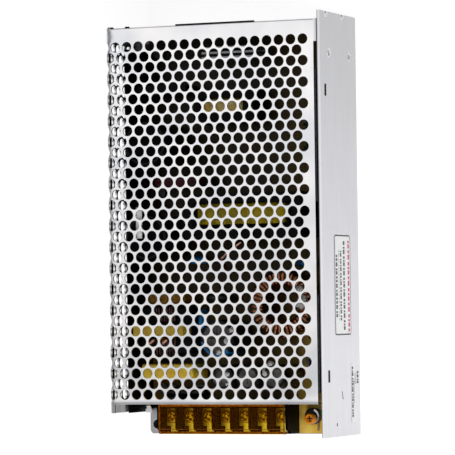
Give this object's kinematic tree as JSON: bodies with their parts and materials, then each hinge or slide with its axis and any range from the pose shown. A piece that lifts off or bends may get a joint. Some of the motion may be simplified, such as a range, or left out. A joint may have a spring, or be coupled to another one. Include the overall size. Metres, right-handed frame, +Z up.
{
  "type": "enclosed switching power supply",
  "caption": "Enclosed switching power supply with an aluminium chassis, perforated metal cover, screw terminals under an amber flap, trimmer and lamp.",
  "frame": {"origin": "middle of the base plate's underside, centred between the outer sides", "axes": "+Z up away from the base, +Y along the case away from the terminals, +X towards the tall solid side wall"},
  "size_m": [0.11, 0.199, 0.05],
  "materials": {
    "chassis_aluminium": "satin rolled",
    "plated_steel": "bright plated",
    "black_film": "smooth film",
    "board_tan": "smooth laminate",
    "black_plastic": "moulded",
    "brass": "bright",
    "amber_plastic": "clear amber",
    "orange_plastic": "moulded",
    "green_lens": "clear green",
    "trimmer_grey": "moulded",
    "black_screw": "black oxide",
    "plated_hardware": "zinc plated",
    "ferrite": "matte",
    "yellow_tape": "polyester tape",
    "former_yellow": "moulded",
    "copper_wire": "enamelled",
    "toroid_coat": "coated powder core",
    "can_sleeve": "shrunk sleeve",
    "yellow_box": "moulded",
    "maroon_dip": "dipped",
    "orange_dip": "dipped",
    "blue_disc": "dipped",
    "dark_disc": "dipped",
    "fuse_glass": "clear",
    "black_epoxy": "moulded",
    "sink_aluminium": "extruded"
  },
  "bodies": {
    "case": {"chassis": "chassis_aluminium", "perforated_cover": "plated_steel", "cover_screws": "plated_hardware", "insulation_sheet": "black_film", "pcb": "board_tan", "pcb_standoffs": "plated_hardware", "pcb_screws": "plated_hardware", "corner_washer": "plated_hardware", "corner_screw": "black_screw", "terminal_block": "black_plastic", "terminal_plates": "brass", "trimmer_body": "trimmer_grey", "led": "green_lens", "transformer_core": "ferrite", "transformer_winding": "yellow_tape", "transformer_bobbin": "black_plastic", "line_choke_core": "ferrite", "line_choke_winding": "copper_wire", "line_choke_bobbin": "former_yellow", "toroid_core": "toroid_coat", "toroid_winding": "copper_wire", "drive_transformer_core": "ferrite", "drive_transformer_winding": "former_yellow", "bulk_capacitor_1": "can_sleeve", "bulk_capacitor_2": "can_sleeve", "x_capacitor": "yellow_box", "film_capacitor_red": "maroon_dip", "film_capacitor_orange": "orange_dip", "y_capacitor_1": "blue_disc", "y_capacitor_2": "blue_disc", "y_capacitor_3": "blue_disc", "thermistor": "dark_disc", "fuse": "fuse_glass", "fuse_clips": "plated_hardware", "bridge_rectifier": "black_epoxy", "rectifier_heatsink": "sink_aluminium", "heatsink_primary": "sink_aluminium", "heatsink_secondary": "sink_aluminium", "power_devices": "black_epoxy", "device_screws": "plated_hardware", "output_capacitor_1": "can_sleeve", "output_capacitor_2": "can_sleeve", "output_capacitor_3": "can_sleeve", "output_capacitor_4": "can_sleeve"},
    "terminal_cover": {"terminal_cover": "amber_plastic"},
    "trimmer_rotor": {"trimmer_rotor": "orange_plastic"},
    "clamp_washer_1": {"clamp_washer_1": "brass"},
    "terminal_screw_1": {"terminal_screw_1": "brass"},
    "clamp_washer_2": {"clamp_washer_2": "brass"},
    "terminal_screw_2": {"terminal_screw_2": "brass"},
    "clamp_washer_3": {"clamp_washer_3": "brass"},
    "terminal_screw_3": {"terminal_screw_3": "brass"},
    "clamp_washer_4": {"clamp_washer_4": "brass"},
    "terminal_screw_4": {"terminal_screw_4": "brass"},
    "clamp_washer_5": {"clamp_washer_5": "brass"},
    "terminal_screw_5": {"terminal_screw_5": "brass"},
    "clamp_washer_6": {"clamp_washer_6": "brass"},
    "terminal_screw_6": {"terminal_screw_6": "brass"},
    "clamp_washer_7": {"clamp_washer_7": "brass"},
    "terminal_screw_7": {"terminal_screw_7": "brass"}
  },
  "joints": [
    {"name": "terminal_cover_turn", "type": "hinge", "parent": "case", "child": "terminal_cover", "pos_m": [0, -0.0844, 0.0215], "axis": [-1, 0, 0], "range_deg": [0, 95]},
    {"name": "trimmer_turn", "type": "hinge", "parent": "case", "child": "trimmer_rotor", "pos_m": [0.034, -0.0916, 0.0125], "axis": [0, 0, 1], "range_deg": [-135, 135]},
    {"name": "clamp_lift_1", "type": "slide", "parent": "case", "child": "clamp_washer_1", "axis": [0, 0, 1], "range_m": [0, 0.003]},
    {"name": "screw_turn_1", "type": "hinge", "parent": "clamp_washer_1", "child": "terminal_screw_1", "pos_m": [-0.0365, -0.0906, 0.0157], "axis": [0, 0, 1], "range_deg": [0, 1543]},
    {"name": "clamp_lift_2", "type": "slide", "parent": "case", "child": "clamp_washer_2", "axis": [0, 0, 1], "range_m": [0, 0.003]},
    {"name": "screw_turn_2", "type": "hinge", "parent": "clamp_washer_2", "child": "terminal_screw_2", "pos_m": [-0.027, -0.0906, 0.0157], "axis": [0, 0, 1], "range_deg": [0, 1543]},
    {"name": "clamp_lift_3", "type": "slide", "parent": "case", "child": "clamp_washer_3", "axis": [0, 0, 1], "range_m": [0, 0.003]},
    {"name": "screw_turn_3", "type": "hinge", "parent": "clamp_washer_3", "child": "terminal_screw_3", "pos_m": [-0.0175, -0.0906, 0.0157], "axis": [0, 0, 1], "range_deg": [0, 1543]},
    {"name": "clamp_lift_4", "type": "slide", "parent": "case", "child": "clamp_washer_4", "axis": [0, 0, 1], "range_m": [0, 0.003]},
    {"name": "screw_turn_4", "type": "hinge", "parent": "clamp_washer_4", "child": "terminal_screw_4", "pos_m": [-0.008, -0.0906, 0.0157], "axis": [0, 0, 1], "range_deg": [0, 1543]},
    {"name": "clamp_lift_5", "type": "slide", "parent": "case", "child": "clamp_washer_5", "axis": [0, 0, 1], "range_m": [0, 0.003]},
    {"name": "screw_turn_5", "type": "hinge", "parent": "clamp_washer_5", "child": "terminal_screw_5", "pos_m": [0.0015, -0.0906, 0.0157], "axis": [0, 0, 1], "range_deg": [0, 1543]},
    {"name": "clamp_lift_6", "type": "slide", "parent": "case", "child": "clamp_washer_6", "axis": [0, 0, 1], "range_m": [0, 0.003]},
    {"name": "screw_turn_6", "type": "hinge", "parent": "clamp_washer_6", "child": "terminal_screw_6", "pos_m": [0.011, -0.0906, 0.0157], "axis": [0, 0, 1], "range_deg": [0, 1543]},
    {"name": "clamp_lift_7", "type": "slide", "parent": "case", "child": "clamp_washer_7", "axis": [0, 0, 1], "range_m": [0, 0.003]},
    {"name": "screw_turn_7", "type": "hinge", "parent": "clamp_washer_7", "child": "terminal_screw_7", "pos_m": [0.0205, -0.0906, 0.0157], "axis": [0, 0, 1], "range_deg": [0, 1543]}
  ],
  "couplings": [
    {"joint": "screw_turn_1", "follows": "clamp_lift_1", "rad_per_m": 8976},
    {"joint": "screw_turn_2", "follows": "clamp_lift_2", "rad_per_m": 8976},
    {"joint": "screw_turn_3", "follows": "clamp_lift_3", "rad_per_m": 8976},
    {"joint": "screw_turn_4", "follows": "clamp_lift_4", "rad_per_m": 8976},
    {"joint": "screw_turn_5", "follows": "clamp_lift_5", "rad_per_m": 8976},
    {"joint": "screw_turn_6", "follows": "clamp_lift_6", "rad_per_m": 8976},
    {"joint": "screw_turn_7", "follows": "clamp_lift_7", "rad_per_m": 8976}
  ]
}
